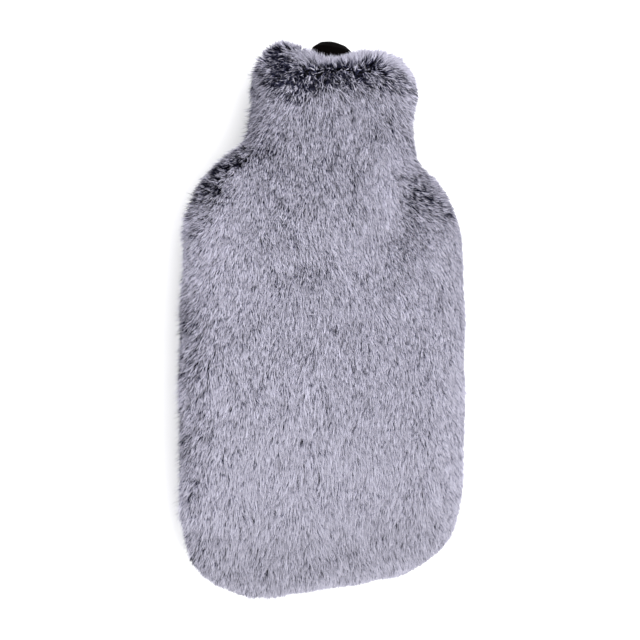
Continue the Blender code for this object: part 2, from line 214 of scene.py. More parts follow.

# Places on the front that are brushed another way, or where more or less of the dark part shows. On
# the neck's ridge the paler spots are painted light.
Brushed = namedtuple("Brushed", "x y reach_x reach_y flow_x flow_y weight dark lift")
BRUSHED = (
    Brushed(0.062, 0.080, 0.022, 0.020, 0.90, -0.65, 0.85, 0.36, 0.10),
    Brushed(0.041, 0.050, 0.014, 0.015, 0.55, -0.85, 0.70, 0.34, 0.00),
    Brushed(0.043, 0.094, 0.008, 0.008, 0.85, -0.60, 0.80, 0.35, 0.00),
    Brushed(0.041, 0.070, 0.010, 0.022, 0.50, -0.88, 0.60, 0.26, 0.00),
    Brushed(0.026, 0.056, 0.010, 0.007, 0.20, -1.00, 0.30, 0.26, 0.00),
    # Painted light: this spot makes the neck's ridge paler where light falls on it.
    Brushed(0.021, 0.088, 0.014, 0.034, -0.10, -1.00, 0.60, -0.36, 0.00),
    Brushed(0.032, 0.116, 0.011, 0.022, 0.05, -1.00, 0.50, -0.25, 0.00),
    Brushed(0.052, 0.090, 0.014, 0.009, 0.85, -0.65, 0.85, 0.42, 0.10),
    Brushed(0.046, 0.146, 0.020, 0.022, 0.75, -0.80, 0.70, 0.16, 0.00),
    Brushed(0.068, 0.122, 0.012, 0.026, 0.70, -0.80, 0.60, 0.00, 0.55),
    Brushed(0.086, 0.098, 0.018, 0.016, 0.90, 0.10, 0.80, 0.10, 0.60),
    Brushed(-0.062, 0.100, 0.014, 0.010, -0.35, -0.90, 0.50, 0.18, 0.00),
    Brushed(-0.022, 0.106, 0.014, 0.008, 0.00, -1.00, 0.20, 0.10, 0.00),
    Brushed(-0.014, 0.076, 0.010, 0.010, 0.10, -1.00, 0.20, 0.08, 0.00),
    Brushed(-0.059, 0.134, 0.008, 0.022, 0.00, -1.00, 0.00, -0.28, 0.00),
    Brushed(-0.098, 0.075, 0.011, 0.009, -1.00, -0.25, 0.50, 0.85, 0.00),
    Brushed(-0.054, 0.076, 0.012, 0.014, 0.00, -1.00, 0.00, 0.14, 0.00),
    Brushed(-0.050, 0.106, 0.010, 0.008, 0.00, -1.00, 0.00, 0.14, 0.00),
    Brushed(-0.076, 0.087, 0.010, 0.007, 0.00, -1.00, 0.00, -0.25, 0.00),
    Brushed(-0.086, 0.062, 0.016, 0.010, 0.00, -1.00, 0.00, -0.22, 0.00),
    Brushed(-0.101, 0.042, 0.014, 0.026, 0.00, -1.00, 0.00, -0.26, 0.00),
    Brushed(-0.088, 0.028, 0.014, 0.022, 0.00, -1.00, 0.00, -0.16, 0.00),
    Brushed(-0.006, 0.056, 0.022, 0.014, 0.00, -1.00, 0.00, -0.16, 0.00),
    Brushed(0.029, 0.090, 0.008, 0.018, 0.00, -1.00, 0.00, -0.25, 0.00),
    Brushed(0.030, 0.134, 0.018, 0.014, 0.00, -1.00, 0.00, 0.30, 0.00),
    Brushed(-0.105, -0.088, 0.012, 0.024, -0.70, -0.70, 0.30, 0.40, 0.00),
    Brushed(-0.034, 0.046, 0.022, 0.016, 0.32, -1.00, 0.65, 0.00, 0.00),
    Brushed(-0.012, 0.022, 0.018, 0.016, 0.35, -1.00, 0.65, 0.00, 0.00),
    Brushed(-0.058, 0.010, 0.018, 0.014, -0.60, -1.00, 0.60, 0.00, 0.00),
    Brushed(-0.042, 0.032, 0.016, 0.010, -0.10, -1.00, 0.20, 0.22, 0.00),
    Brushed(-0.024, 0.039, 0.014, 0.007, 0.00, -1.00, 0.00, 0.16, 0.00),
    Brushed(0.055, 0.042, 0.010, 0.008, 0.00, -1.00, 0.00, -0.25, 0.00),
    Brushed(-0.104, -0.047, 0.009, 0.007, 0.00, -1.00, 0.00, -0.22, 0.00),
    Brushed(-0.106, -0.064, 0.010, 0.007, 0.00, -1.00, 0.00, 0.16, 0.00),
    Brushed(-0.111, -0.012, 0.006, 0.010, 0.00, -1.00, 0.00, 0.25, 0.00),
    Brushed(-0.099, 0.080, 0.010, 0.006, -1.00, -0.25, 0.00, 0.30, 0.00),
    Brushed(-0.107, 0.062, 0.010, 0.006, 0.00, -1.00, 0.00, -0.15, 0.00),
    Brushed(0.082, 0.078, 0.012, 0.010, 0.90, -0.60, 0.30, 0.25, 0.00),
    Brushed(-0.060, 0.125, 0.020, 0.018, -0.30, -0.95, 0.30, 0.10, 0.00),
    Brushed(-0.108, 0.064, 0.014, 0.016, -1.00, -0.30, 0.70, 0.05, 0.40),
    Brushed(-0.114, 0.053, 0.012, 0.006, -0.80, -0.60, 0.60, 0.20, 0.60),
    Brushed(-0.114, -0.034, 0.012, 0.013, -0.80, -0.60, 0.60, 0.55, 0.55),
    Brushed(-0.114, -0.002, 0.012, 0.016, -0.60, -0.80, 0.50, 0.40, 0.20),
    Brushed(-0.114, -0.165, 0.014, 0.016, -0.60, -0.80, 0.50, 0.15, 0.40),
    Brushed(-0.096, -0.186, 0.018, 0.014, -0.30, -1.00, 0.40, 0.10, 0.40),
    Brushed(-0.050, -0.190, 0.018, 0.016, 0.00, -1.00, 0.30, 0.05, 0.55),
    Brushed(-0.020, -0.150, 0.040, 0.014, 0.00, -1.00, 0.20, 0.16, 0.00),
)

# Where clumps slant, and how far across they run for each metre along Y
Slant = namedtuple("Slant", "from_x to_x from_y to_y slope")
SLANTS = (
    Slant(0.040, 1, 0.040, 0.118, 1.2),
    Slant(-1, -0.070, 0.040, 0.118, -3.0),
    Slant(-1, -0.095, -1, 0.040, -0.9),
    Slant(-1, -0.045, 0.155, 1, 1.5),
)

# What a measure of the pile is plainly, and what each kind of pile adds to it
Mix = namedtuple("Mix", "plain calm ruffle astray edge", defaults=(0, 0, 0, 0))
LOCK_LOOSE = Mix(0.10, ruffle=0.15)
LOCK_TONE, LOCK_TONE_SCATTER = Mix(0.50, calm=-0.08, ruffle=0.22), Mix(0.09, calm=-0.027)
STRAY_SHARE = Mix(0.07, calm=-0.042, edge=0.12)
LOOSE = Mix(0.16, calm=-0.05, ruffle=0.10, astray=0.25)
WIDER = Mix(1, ruffle=0.45, astray=-0.30)
SHORTER = Mix(1, ruffle=-0.20)
OVER_HEIGHT = Mix(0.35, edge=0.20)  # of strands that go astray
TONE_SCATTER = Mix(0.19, calm=-0.095)
DULL_SHARE, DULL_DARK = Mix(0.07, calm=-0.049), 0.48

# Clumps: ranges, and how their tone and the share with dark tips (shut) follow the place
LOCK_STANDS, LOCK_PULLS, LOCK_DARKS = (0.6, 1.5), (0.25, 0.60), (0.6, 1.4)
CALM_PULL, RUFFLED_PULL = -0.4, -0.45
BASE_TONE, LEFT_TONE, PALE_TONE, PALE_FROM = -0.20, 0.04, 0.5, -0.2
SHUT_RUFFLED, SHUT_PARTED, SHUT_DARK, SHUT_FROM = 0.36, 0.75, 0.85, 0.40

# Strands: ranges as shares, and means with their scatter. MIDDLE_V and TIP_V are places on the map.
LENGTHS, WIDTHS, TOPS, ENDS_AT_RIM = (0.78, 1.16), (0.7, 1.3), (0.84, 1.16), (0.88, 1.06)
STAND_SCATTER, STRAY_STAND, MOST_STRAND_STAND = 0.12, 0.7, 1.8
SHORTEST = 0.45  # the least share that a strand is cut to
MIDDLE_PULL = 0.5  # share of its clump's pull that a strand's middle takes
DULL_DROPS, SHUT_DROPS = (0.20, 0.45), (0.30, 0.58)  # how far down the map a dull tip is
MIDDLE_V, TIP_V = (0.64, 0.08), (0.95, 0.04)
CALM_V, DARK_V, RUFFLED_DARK, DULL_V = 0.04, -0.12, -1.5, -0.20

# Strands along the cloth's edges, round the rim and over the seam
Edge = namedtuple("Edge", "lean fans lengths tone")
RIM = Edge(0.28, (-0.5, 2.2), (0.65, 1.10), 0.46)
SIDE = Edge(0.14, (0.1, 0.9), (0.62, 0.95), 0.40)
RIM_BEND, LOBE_LONGER = 0.3, 0.30  # the fan's share above the bend, and more length on a lobe
SIDE_BEND, SIDE_DOWN, SIDE_STAND = 0.6, 0.5, 0.35
EDGE_TWIST, EDGE_WIDTHS, EDGE_TONE_SCATTER = 0.6, (0.7, 1.2), 0.18
EDGE_MIDDLE_V, EDGE_TIP_V = (0.70, 0.07), (0.95, 0.03)


def unit(vectors):
    return vectors / np.maximum(np.linalg.norm(vectors, axis=-1, keepdims=True), 1e-9)


def smooth(value):
    t = np.clip(value, 0, 1)
    return t * t * (3 - 2 * t)


def past(value, limit):
    """0 up to a soft limit's start, and 1 from its reach on."""
    return smooth((value - limit.start) / limit.reach)


def hill(value, reach):
    return np.exp(-((value / reach) ** 2))


def mixed(mix, calm=0, ruffle=0, astray=0, edge=0):
    """A mix where the pile is this calm, ruffled, astray or near a side's edge."""
    return mix.plain + mix.calm * calm + mix.ruffle * ruffle + mix.astray * astray + mix.edge * edge


def waves(points, wave):
    """Smooth unevenness between about plus and minus the wave's depth."""
    made = np.random.default_rng(wave.seed)
    total = np.zeros(len(points))
    for _ in range(WAVE_PARTS):
        facing = unit(made.normal(size=3))
        length = wave.length * made.uniform(*WAVE_LENGTHS)
        way = facing * 2 * math.pi / length
        total += np.sin(points @ way + made.uniform(0, 2 * math.pi))
    return wave.depth * (total / WAVE_SIZE)


def search_tree(points):
    tree = KDTree(len(points))
    for i, p in enumerate(points):
        tree.insert(p, i)
    tree.balance()
    return tree


def column(table, name):
    return np.array([getattr(row, name) for row in table])


def add_to_scene(name, data):
    piece = bpy.data.objects.new(name, data)
    bpy.context.scene.collection.objects.link(piece)
    return piece


def new_look(name, values):
    """A material with these numbers on its shader's own sockets."""
    look = bpy.data.materials.new(name)
    look.use_nodes = True
    shader = look.node_tree.nodes["Principled BSDF"]
    for socket, value in values.items():
        shader.inputs[socket].default_value = value
    return look, look.node_tree.nodes, look.node_tree.links, shader


# Camera, floor and light

def look_axes():
    """The camera's right, up and backward axes, and its place."""
    level = math.cos(PITCH)
    back = Vector((-math.sin(YAW) * level, math.sin(PITCH), math.cos(YAW) * level))
    right = Vector((0, 1, 0)).cross(back).normalized()
    up = back.cross(right)
    place = Vector((0, AIM + BASE_Y, SEAM)) + DISTANCE * back
    rolled_right = math.cos(ROLL) * right + math.sin(ROLL) * up
    rolled_up = math.cos(ROLL) * up - math.sin(ROLL) * right
    ahead = -back + (OFF_CENTRE[0] * rolled_right + OFF_CENTRE[1] * rolled_up) / FOCAL_PIXELS
    back = -ahead.normalized()
    right = rolled_up.cross(back).normalized()
    return right, back.cross(right), back, place


def add_camera():
    right, up, back, place = look_axes()
    lens = bpy.data.cameras.new("photo_camera")
    lens.sensor_width = SENSOR * 1000
    lens.lens = FOCAL_PIXELS / IMAGE_PIXELS * SENSOR * 1000
    lens.clip_start, lens.clip_end = 0.01, 20
    camera = add_to_scene("photo_camera", lens)
    turn = Matrix((right, up, back)).transposed().to_4x4()
    camera.matrix_world = Matrix.Translation(place) @ turn
    bpy.context.scene.camera = camera


def add_light(name, place, size, power):
    lamp = bpy.data.lights.new(name, "AREA")
    lamp.shape = "DISK"
    lamp.size = size
    lamp.energy = power
    light = add_to_scene(name, lamp)
    light.location = place
    towards = Vector((0, 0, 0.03)) - Vector(place)
    light.rotation_euler = towards.to_track_quat("-Z", "Y").to_euler()


def add_stage():
    world = bpy.data.worlds.new("studio")
    world.use_nodes = True
    sky = world.node_tree.nodes["Background"]
    sky.inputs["Color"].default_value = (1, 1, 1, 1)
    sky.inputs["Strength"].default_value = 1.75
    bpy.context.scene.world = world
    bpy.context.scene.view_settings.view_transform = "Standard"
    add_light("key", place=(0.7, -0.7, 1.6), size=1.4, power=28)
    add_light("fill", place=(-1.2, 0.3, 1.3), size=1.8, power=8)

    bpy.ops.mesh.primitive_plane_add(size=6, location=(0, 0, 0))
    floor = bpy.context.object
    floor.name = "floor"
    look, *_ = new_look("floor", {
        "Base Color": (0.93, 0.93, 0.935, 1),
        "Roughness": 0.9,
        "Specular IOR Level": 0.1,
    })
    floor.data.materials.append(look)


# Surfaces of the CAD panels

def welded(name):
    """A CAD node's points and triangles, each point once."""
    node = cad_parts[name]
    mesh = node.data
    mesh.calc_loop_triangles()
    points = np.empty(len(mesh.vertices) * 3, np.float32)
    mesh.vertices.foreach_get("co", points)
    turn = np.array(node.matrix_world)
    points = points.reshape(-1, 3).astype(float) @ turn[:3, :3].T + turn[:3, 3]
    faces = np.empty(len(mesh.loop_triangles) * 3, np.int32)
    mesh.loop_triangles.foreach_get("vertices", faces)
    rounded = np.round(points, 5)
    _, first, index = np.unique(rounded, axis=0, return_index=True, return_inverse=True)
    faces = index.reshape(-1)[faces].reshape(-1, 3)
    whole = (faces != np.roll(faces, 1, axis=1)).all(axis=1)
    return points[first], faces[whole]


def face_normals(points, faces):
    a, b, c = (points[faces[:, i]] for i in range(3))
    crossed = np.cross(b - a, c - a)
    return unit(crossed), np.linalg.norm(crossed, axis=1) / 2


def point_normals(points, faces):
    normals, areas = face_normals(points, faces)
    total = np.zeros_like(points)
    for i in range(3):
        np.add.at(total, faces[:, i], normals * areas[:, None])
    return unit(total)


def skins(name):
    """A panel's points, its inner skin's faces, turned to face outward, and its outer skin's."""
    points, faces = welded(name)
    normals, _ = face_normals(points, faces)
    middle = points[faces].mean(axis=1)
    core_x = np.interp(middle[:, 1], CORE_Y, CORE_HALF_WIDTH)
    core = np.column_stack([
        np.clip(middle[:, 0], -core_x, core_x),
        np.maximum(middle[:, 1], BASE_Y + CORE_OFF_BASE),
        np.full(len(middle), SEAM),
    ])
    facing = (normals * unit(middle - core)).sum(axis=1)
    in_seam = (np.abs(points[faces][:, :, 2] - SEAM) < SEAM_FACE).all(axis=1)
    on_rim = (normals[:, 1] > RIM_FACING) & (middle[:, 1] > RIM_FACE_Y)
    inner = (facing < -SKIN_FACING) & ~in_seam & ~on_rim
    outer = (facing > SKIN_FACING) & ~in_seam
    return points, faces[inner][:, ::-1], faces[outer]


def compact(points, faces):
    used, index = np.unique(faces, return_inverse=True)
    return points[used], index.reshape(faces.shape)


def open_edges(faces):
    """The edges that only one face has."""
    ends = np.sort(np.concatenate([faces[:, [0, 1]], faces[:, [1, 2]], faces[:, [2, 0]]]), axis=1)
    edges, count = np.unique(ends, axis=0, return_counts=True)
    return edges[count == 1]


def rim_points(points, faces):
    """The points along the open edge of a skin at the mouth."""
    ends = np.unique(open_edges(faces))
    at = points[ends]
    return ends[(at[:, 1] > RIM_EDGE_Y) & (np.abs(at[:, 2] - SEAM) > SEAM_RIM)]


def cloth_surface(name):
    """The cloth's outer side as points, normals and faces, and two measures at each point: the
    pile's height and the way left to the pile's rim."""
    points, inner, outer = skins(name)
    inner_points, inner = compact(points, inner)
    rim = search_tree(inner_points[rim_points(inner_points, inner)])
    to_rim = np.array([rim.find(p)[2] for p in inner_points])
    inner = inner[(to_rim[inner] > RIM_PILE).all(axis=1)]
    kept_points, inner = compact(inner_points, inner)
    normals = point_normals(kept_points, inner)
    surface = kept_points + normals * (CLOTH_OFF_INNER + CLOTH)
    room = np.array([rim.find(p)[2] for p in kept_points])
    skin = BVHTree.FromPolygons([Vector(p) for p in points], [tuple(f) for f in outer])
    height = np.full(len(surface), PILE_HEIGHT)
    for i, (p, n) in enumerate(zip(surface, normals)):
        _, _, _, distance = skin.ray_cast(Vector(p), Vector(n), RAY_LENGTH)
        if distance is not None:
            height[i] = distance
    return surface, normals, inner, np.column_stack([np.clip(height, LEAST_PILE, MOST_PILE), room])


# Pile

def spread(sizes, count, draw):
    """Which element each of this many evenly spread random points falls in, by their sizes."""
    share = np.cumsum(sizes)
    at = np.searchsorted(share, (np.arange(count) + draw.uniform(size=count)) / count * share[-1])
    return np.minimum(at, len(sizes) - 1)


def sample(surface, normals, faces, measures, count, weight, draw):
    """Random places over the faces, with their normals and measures."""
    _, areas = face_normals(surface, faces)
    at = spread(areas * weight, count, draw)
    a, b = draw.uniform(size=(2, count))
    over = a + b > 1
    a, b = np.where(over, 1 - a, a), np.where(over, 1 - b, b)
    parts = np.stack([1 - a - b, a, b], axis=1)[:, :, None]
    corners = faces[at]
    place = (surface[corners] * parts).sum(axis=1)
    normal = unit((normals[corners] * parts).sum(axis=1))
    return place, normal, (measures[corners] * parts).sum(axis=1)


def mouth_nap(place, flow, on_front, room):
    """The flow turned at the mouth, how near its dark band each place is, and how pale its rim."""
    x = place[:, 0]
    line, up_x, up_y, reach, under, down_x, deep = (
        np.interp(x, column(MOUTH, "x"), column(MOUTH, name)) for name in Mouth._fields[1:]
    )
    line = BACK_MOUTH_LINE + on_front * (line + waves(place, LINE_WAVE) - BACK_MOUTH_LINE)
    above = place[:, 1] - line
    below = np.maximum(-above, 0)
    flow = flow + np.column_stack([down_x * hill(below, BELOW_REACH), np.zeros((len(x), 2))])
    turned = on_front * past(room, OFF_RIM)
    up_x = turned * up_x + (1 - turned) * x / FAN
    up_y = 1 + turned * (up_y - 1)
    upward = np.column_stack([up_x, up_y, MOUTH_RISE * (2 * on_front - 1)])
    rise = past(above, TURN_AT_LINE)[:, None]
    flow = flow * (1 - rise) + MOUTH_FLOW * unit(upward) * rise
    near = hill(np.maximum(below - BAND_FULL, 0), under)
    near *= hill(np.maximum(above, 0), BACK_ABOVE + on_front * (reach - BACK_ABOVE))
    pale = past(above, PALE_RIM) * past(x, RIGHT_OF_LOBE) * on_front
    return flow, near * (BACK_DEEP + (deep - BACK_DEEP) * on_front), pale


def parted(place, normal, flow):
    """The flow turned outward beyond each parting line, with how near each place is to one."""
    nearest_line = np.zeros(len(place))
    for line in PARTINGS:
        start = np.array([line.x0, line.y0, line.z0])
        run = np.array([line.x1, line.y1, line.z1]) - start
        outward = unit(np.array([-run[1], run[0], 0.0]) * np.sign(run[0]))
        off = place + normal * PILE_HEIGHT - start
        along = np.clip(off @ run / (run @ run), 0, 1)
        away = off - along[:, None] * run
        near = line.strength * hill(np.linalg.norm(away, axis=1), line.reach)
        near *= past(away @ outward, OVER_PARTING) * past(place[:, 2], OFF_FLOOR)
        turn = (PARTING_TURN * near)[:, None]
        flow = flow * (1 - turn) + turn * (line.flow_x, line.flow_y, 0)
        nearest_line = np.maximum(nearest_line, near)
    return flow, nearest_line


def beside_lip(place):
    """How near each place is to the front's rim beside the lip."""
    near = hill(place[:, 0] - LIP_SIDE_X, LIP_SIDE_REACH)
    return near * past(place[:, 1], LIP_SIDE) * past(place[:, 2], FRONT)


def calmness(place):
    """How smooth and even the pile lies: most towards the base and the right side."""
    return np.maximum(past(place[:, 1], CALM_BASE), past(place[:, 0], CALM_RIGHT))


def plain_flow(place, normal, on_front, base_wall):
    """The flow where nothing turns the pile: towards the base, outward and to the side seam."""
    x, y, z = place.T
    across = np.tanh(x / MIDDLE) * (OUTWARD + OUTWARD_AT_EDGE * np.abs(normal[:, 0]))
    across = across + waves(place, SWAY) + waves(place, RIPPLE)
    lean = np.interp(x, column(LEANS, "x"), column(LEANS, "across"))
    across += lean * past(y, LOWER_HALF) * past(y, OFF_BASE) * on_front
    across += BASE_SWEEP * base_wall * on_front
    to_seam = -np.tanh((z - SEAM) / SEAM_TURN)
    down = np.full(len(place), -1.0)
    flow = np.column_stack([across, down, to_seam * SEAM_PULL * hill(z - SEAM, SEAM_REACH)])
    round_base = flow + np.column_stack([np.zeros((len(place), 2)), BASE_PULL * to_seam])
    round_base = unit(round_base - normal * (round_base * normal).sum(axis=1, keepdims=True))
    on_wall = base_wall[:, None]
    return flow * (1 - on_wall) + round_base * on_wall


def brushed(place, flow, dark, low):
    """The flow and dark changed at the brushed places, with how much paler they make the pile and
    the lift they give. On the neck's ridge the paler pile is painted light.
    """
    x, y, z = place.T
    within = np.maximum(past(z, UPPER_SIDE), past(np.abs(x), FAR_OUT) * past(y, BELOW_SHOULDER))
    within *= 1 - FAR_LEFT_LOSS * (1 - low) * past(x, FAR_LEFT)
    light, lift = np.zeros(len(place)), np.zeros(len(place))
    for spot in BRUSHED:
        off = ((x - spot.x) / spot.reach_x) ** 2 + ((y - spot.y) / spot.reach_y) ** 2
        near = np.exp(-off) * within
        turn = (spot.weight * near)[:, None]
        flow = flow * (1 - turn) + turn * (spot.flow_x, spot.flow_y, 0)
        dark = dark + max(spot.dark, 0) * near
        light += min(spot.dark, 0) * near
        lift += spot.lift * near
    return flow, dark, light, lift


def nap(place, normal, room):
    """For each place: the pile's flow, its stand, how ruffled it is, how much dark shows, how near
    a parting it is and its lift."""
    x, y, z = place.T
    on_front = past(z, FRONT)
    base_wall = past(normal[:, 1], BASE_WALL)
    flow = plain_flow(place, normal, on_front, base_wall)

    in_neck = past(y, NECK) * past(np.abs(x), INNER)
    low = past(z, LOW_SIDE)
    dark = (PLAIN_DARK_WAVES + NECK_DARK_WAVES * in_neck) * waves(place, DARK_WAVE)
    # Darker on the neck and paler on the lower part: partly the pile's lie, partly painted shade
    # and light.
    dark += LOWER_DARK * (1 - past(y, UPPER_HALF)) + NECK_DARK * in_neck
    # The left wall is darker: partly more dark roots showing, partly painted shade on the side away
    # from the key light.
    left_share = LEFT_TOP_SHARE + (1 - LEFT_TOP_SHARE) * low
    dark += LEFT_DARK_AND_SHADE * past(normal[:, 0], LEFT_WALL) * left_share
    dark += BASE_DARK * past(y, NEAR_BASE) + BASE_WALL_DARK * base_wall

    flow, dark, light, lift = brushed(place, flow, dark, low)
    flow, at_mouth, pale = mouth_nap(place, flow, on_front, room)
    flow, at_parting = parted(place, normal, flow)
    dark = np.maximum(dark, PARTED_DARK * np.maximum(at_mouth, at_parting))
    # The brushed places' paleness, painted light on the neck's ridge, counts everywhere except in
    # the mouth's band.
    dark = np.clip(dark + light * (1 - np.minimum(at_mouth, 1)), PALEST, 1)
    dark = dark * (1 - pale) + PALEST * pale
    ruffle = np.maximum(at_mouth * (1 - pale), PARTED_RUFFLE * at_parting)

    right_wall = past(normal[:, 0], RIGHT_WALL) * past(y, BELOW_NECK)
    at = Raise(at_mouth, at_parting, base_wall, right_wall)
    stand = STAND + waves(place, STAND_WAVE) + lift
    stand += sum(more * near for more, near in zip(MORE_STAND, at))
    lift = lift + sum(more * near for more, near in zip(MORE_LIFT, at))
    return flow, np.clip(stand, LEAST_STAND, MOST_STAND), ruffle, dark, at_parting, lift


Locks = namedtuple("Locks", "place flow stand pull tone ruffle dark shut lift")


def clumps(surface, normals, faces, measures, weight, draw):
    """Clump centres, with the nap there."""
    _, areas = face_normals(surface, faces)
    middle_y = surface[faces].mean(axis=1)[:, 1]
    weight = weight * (1 + MOUTH_CLUMPS * past(middle_y, NEAR_MOUTH))
    count = int((areas * weight).sum() / CLUMP_AREA)
    place, normal, measured = sample(surface, normals, faces, measures, count, weight, draw)
    flow, stand, ruffle, dark, parting, lift = nap(place, normal, measured[:, 1])
    flow = flow + draw.normal(size=flow.shape) * mixed(LOCK_LOOSE, ruffle=ruffle)[:, None]
    stand = stand * draw.uniform(*LOCK_STANDS, count)
    calm = calmness(place)
    pull = draw.uniform(*LOCK_PULLS, count) * (1 + CALM_PULL * calm) * (1 + RUFFLED_PULL * ruffle)
    tone = mixed(LOCK_TONE, calm, ruffle) + BASE_TONE * past(place[:, 1], BY_BASE)
    # Paler tips where the least of the dark part shows, below the mouth. This carries the painted
    # light of the neck's ridge and of the lower part.
    tone += PALE_TONE * np.maximum(PALE_FROM - dark, 0) * past(place[:, 1], BELOW_MOUTH)
    tone += LEFT_TONE * past(normal[:, 0], LEFT_WALL)
    tone += draw.normal(size=count) * mixed(LOCK_TONE_SCATTER, calm)
    shut_share = np.maximum(SHUT_RUFFLED * ruffle, SHUT_PARTED * parting**2)
    shut_share = np.maximum(shut_share, SHUT_DARK * (dark - SHUT_FROM))
    shut = draw.uniform(size=count) < shut_share
    dark = dark * draw.uniform(*LOCK_DARKS, count)
    return Locks(place, flow, stand, pull, tone, ruffle, dark, shut, lift)


def squeezed(place, slope):
    """Places in a space where a clump, longer along the pile than across it, is round."""
    across = (place[:, 0] + slope * place[:, 1]) / math.hypot(1, slope)
    along = (slope * place[:, 0] - place[:, 1]) / math.hypot(1, slope)
    return np.column_stack([
        across * ACROSS_SQUEEZE,
        along * ALONG_SQUEEZE,
        place[:, 2] * ACROSS_SQUEEZE,
    ])


def nearest(place, centres):
    """The clump of each place."""
    x, y, _ = place.T
    slopes = np.zeros(len(place))
    for part in SLANTS:
        in_part = (x > part.from_x) & (x < part.to_x) & (y > part.from_y) & (y < part.to_y)
        slopes[in_part] = part.slope
    found = np.zeros(len(place), int)
    for slope in np.unique(slopes):
        here = np.flatnonzero(slopes == slope)
        tree = search_tree(squeezed(centres, slope))
        found[here] = [tree.find(p)[1] for p in squeezed(place[here], slope)]
    return found


def strands(surface, normals, faces, measures, count, weight, draw):
    """Root, middle and tip of each strand, its width's direction and its colour numbers."""
    lock = clumps(surface, normals, faces, measures, weight, draw)
    place, normal, measured = sample(surface, normals, faces, measures, count, weight, draw)
    tall, room = measured.T
    at = nearest(place, lock.place)
    ruffle, dark = lock.ruffle[at], lock.dark[at]
    edge = past(np.abs(normal[:, 0]), SIDE_EDGE)
    calm = calmness(place)
    astray = draw.uniform(size=count) < mixed(STRAY_SHARE, calm, edge=edge)
    loose = mixed(LOOSE, calm, ruffle, astray)[:, None]
    flow = lock.flow[at] + draw.normal(size=(count, 3)) * loose
    stand = lock.stand[at] + draw.normal(scale=STAND_SCATTER, size=count) + STRAY_STAND * astray
    stand = np.clip(stand, 0.0, MOST_STRAND_STAND)[:, None]
    low, high = unit(normal * (stand + LOW_STAND) + flow), unit(normal * stand + flow)
    share = tall / PILE_HEIGHT * draw.uniform(*LENGTHS, count) * mixed(SHORTER, ruffle=ruffle)
    length = STRAND_LENGTH * share[:, None]
    to_middle = low * length * LOWER_PART
    to_tip = to_middle + high * length * (1 - LOWER_PART)

    # Keep the strand within the pile's height, and within the rim at the mouth.
    over = mixed(OVER_HEIGHT, edge=edge) * astray + lock.lift[at]
    tall = tall * (draw.uniform(*TOPS, count) + over)
    high_share = tall / np.maximum((to_tip * normal).sum(axis=1), 1e-6)
    room = room * (1 - LIP_SHORTER * beside_lip(place))
    rim_share = room * draw.uniform(*ENDS_AT_RIM, count) / np.maximum(to_tip[:, 1], 1e-6)
    share = np.clip(np.minimum(high_share, rim_share), SHORTEST, 1)[:, None]

    # Pull the strand towards its clump's own, the tip most.
    aside = (lock.place[at] - place) * (lock.pull[at] * ~astray)[:, None]
    middle = place + to_middle * share + aside * MIDDLE_PULL
    tip = place + to_tip * share + aside
    across = unit(np.cross(high, normal + draw.normal(scale=TWIST, size=(count, 3))))
    width = STRAND_WIDTH * draw.uniform(*WIDTHS, count) * mixed(WIDER, ruffle=ruffle, astray=astray)

    scatter = mixed(TONE_SCATTER, calm) * (1 + np.minimum(dark, 0))
    tone = np.clip(lock.tone[at] + draw.normal(size=count) * scatter, 0, 1)
    dull = draw.uniform(size=count) < mixed(DULL_SHARE, calm) + DULL_DARK * dark
    drop = draw.uniform(*DULL_DROPS, count) * dull
    drop = np.where(lock.shut[at], draw.uniform(*SHUT_DROPS, count), drop)
    middle_v = draw.normal(*MIDDLE_V, count) + CALM_V * calm + DULL_V * (drop > 0)
    middle_v += DARK_V * dark * (1 + RUFFLED_DARK * ruffle)
    tip_v = draw.normal(*TIP_V, count) - drop
    middle_v, tip_v = np.clip(middle_v, *MIDDLE_COLOURS), np.clip(tip_v, *TIP_COLOURS)
    return place, middle, tip, across, width, tone, middle_v, tip_v


def edge_strands(surface, normals, faces, at_mouth, count, draw):
    """Strands along the cloth's edge: round the mouth's rim, or over the seam."""
    edges = open_edges(faces)
    at = surface[edges].mean(axis=1)
    in_mouth = (at[:, 1] > CLOTH_EDGE_Y) & (np.abs(at[:, 2] - SEAM) > SEAM_EDGE)
    starts, ends = edges[in_mouth == at_mouth].T
    pick = spread(np.linalg.norm(surface[starts] - surface[ends], axis=1), count, draw)
    starts, ends = starts[pick], ends[pick]
    part = draw.uniform(size=count)[:, None]
    place = surface[starts] * part + surface[ends] * (1 - part)
    normal = unit(normals[starts] * part + normals[ends] * (1 - part))
    place = place - normal * (CLOTH * draw.uniform(0, 1, count))[:, None]
    outward = unit(np.cross(surface[ends] - surface[starts], normal))
    kind = RIM if at_mouth else SIDE
    lean = draw.normal(scale=kind.lean, size=(count, 3))
    fan = draw.uniform(*kind.fans, count)[:, None]
    if at_mouth:
        outward *= np.sign(outward[:, 1:2])
        low = unit(outward + normal * fan + lean)
        high = unit(outward + normal * fan * RIM_BEND + lean)
        longer = LOBE_LONGER * past(place[:, 0], LEFT_LOBE) - LIP_SHORTER * beside_lip(place)
        length = RIM_PILE * (1 + longer)
    else:
        outward *= np.sign(outward[:, 2:3] * (SEAM - surface[faces].mean(axis=(0, 1))[2]))
        down = np.array([0.0, -1.0, 0.0]) + normal * normal[:, 1:2]
        low = unit(normal + outward * fan * SIDE_BEND + down * SIDE_DOWN + lean)
        high = unit(normal * SIDE_STAND + outward * fan + down + lean)
        length = STRAND_LENGTH
    length = (length * draw.uniform(*kind.lengths, count))[:, None]
    middle = place + low * length * LOWER_PART
    tip = middle + high * length * (1 - LOWER_PART)
    across = unit(np.cross(high, normal + draw.normal(scale=EDGE_TWIST, size=(count, 3))))
    width = STRAND_WIDTH * draw.uniform(*EDGE_WIDTHS, count)
    tone = np.clip(draw.normal(kind.tone, EDGE_TONE_SCATTER, count), 0, 1)
    middle_v = np.clip(draw.normal(*EDGE_MIDDLE_V, count), *MIDDLE_COLOURS)
    tip_v = np.clip(draw.normal(*EDGE_TIP_V, count), *TIP_COLOURS)
    return place, middle, tip, across, width, tone, middle_v, tip_v


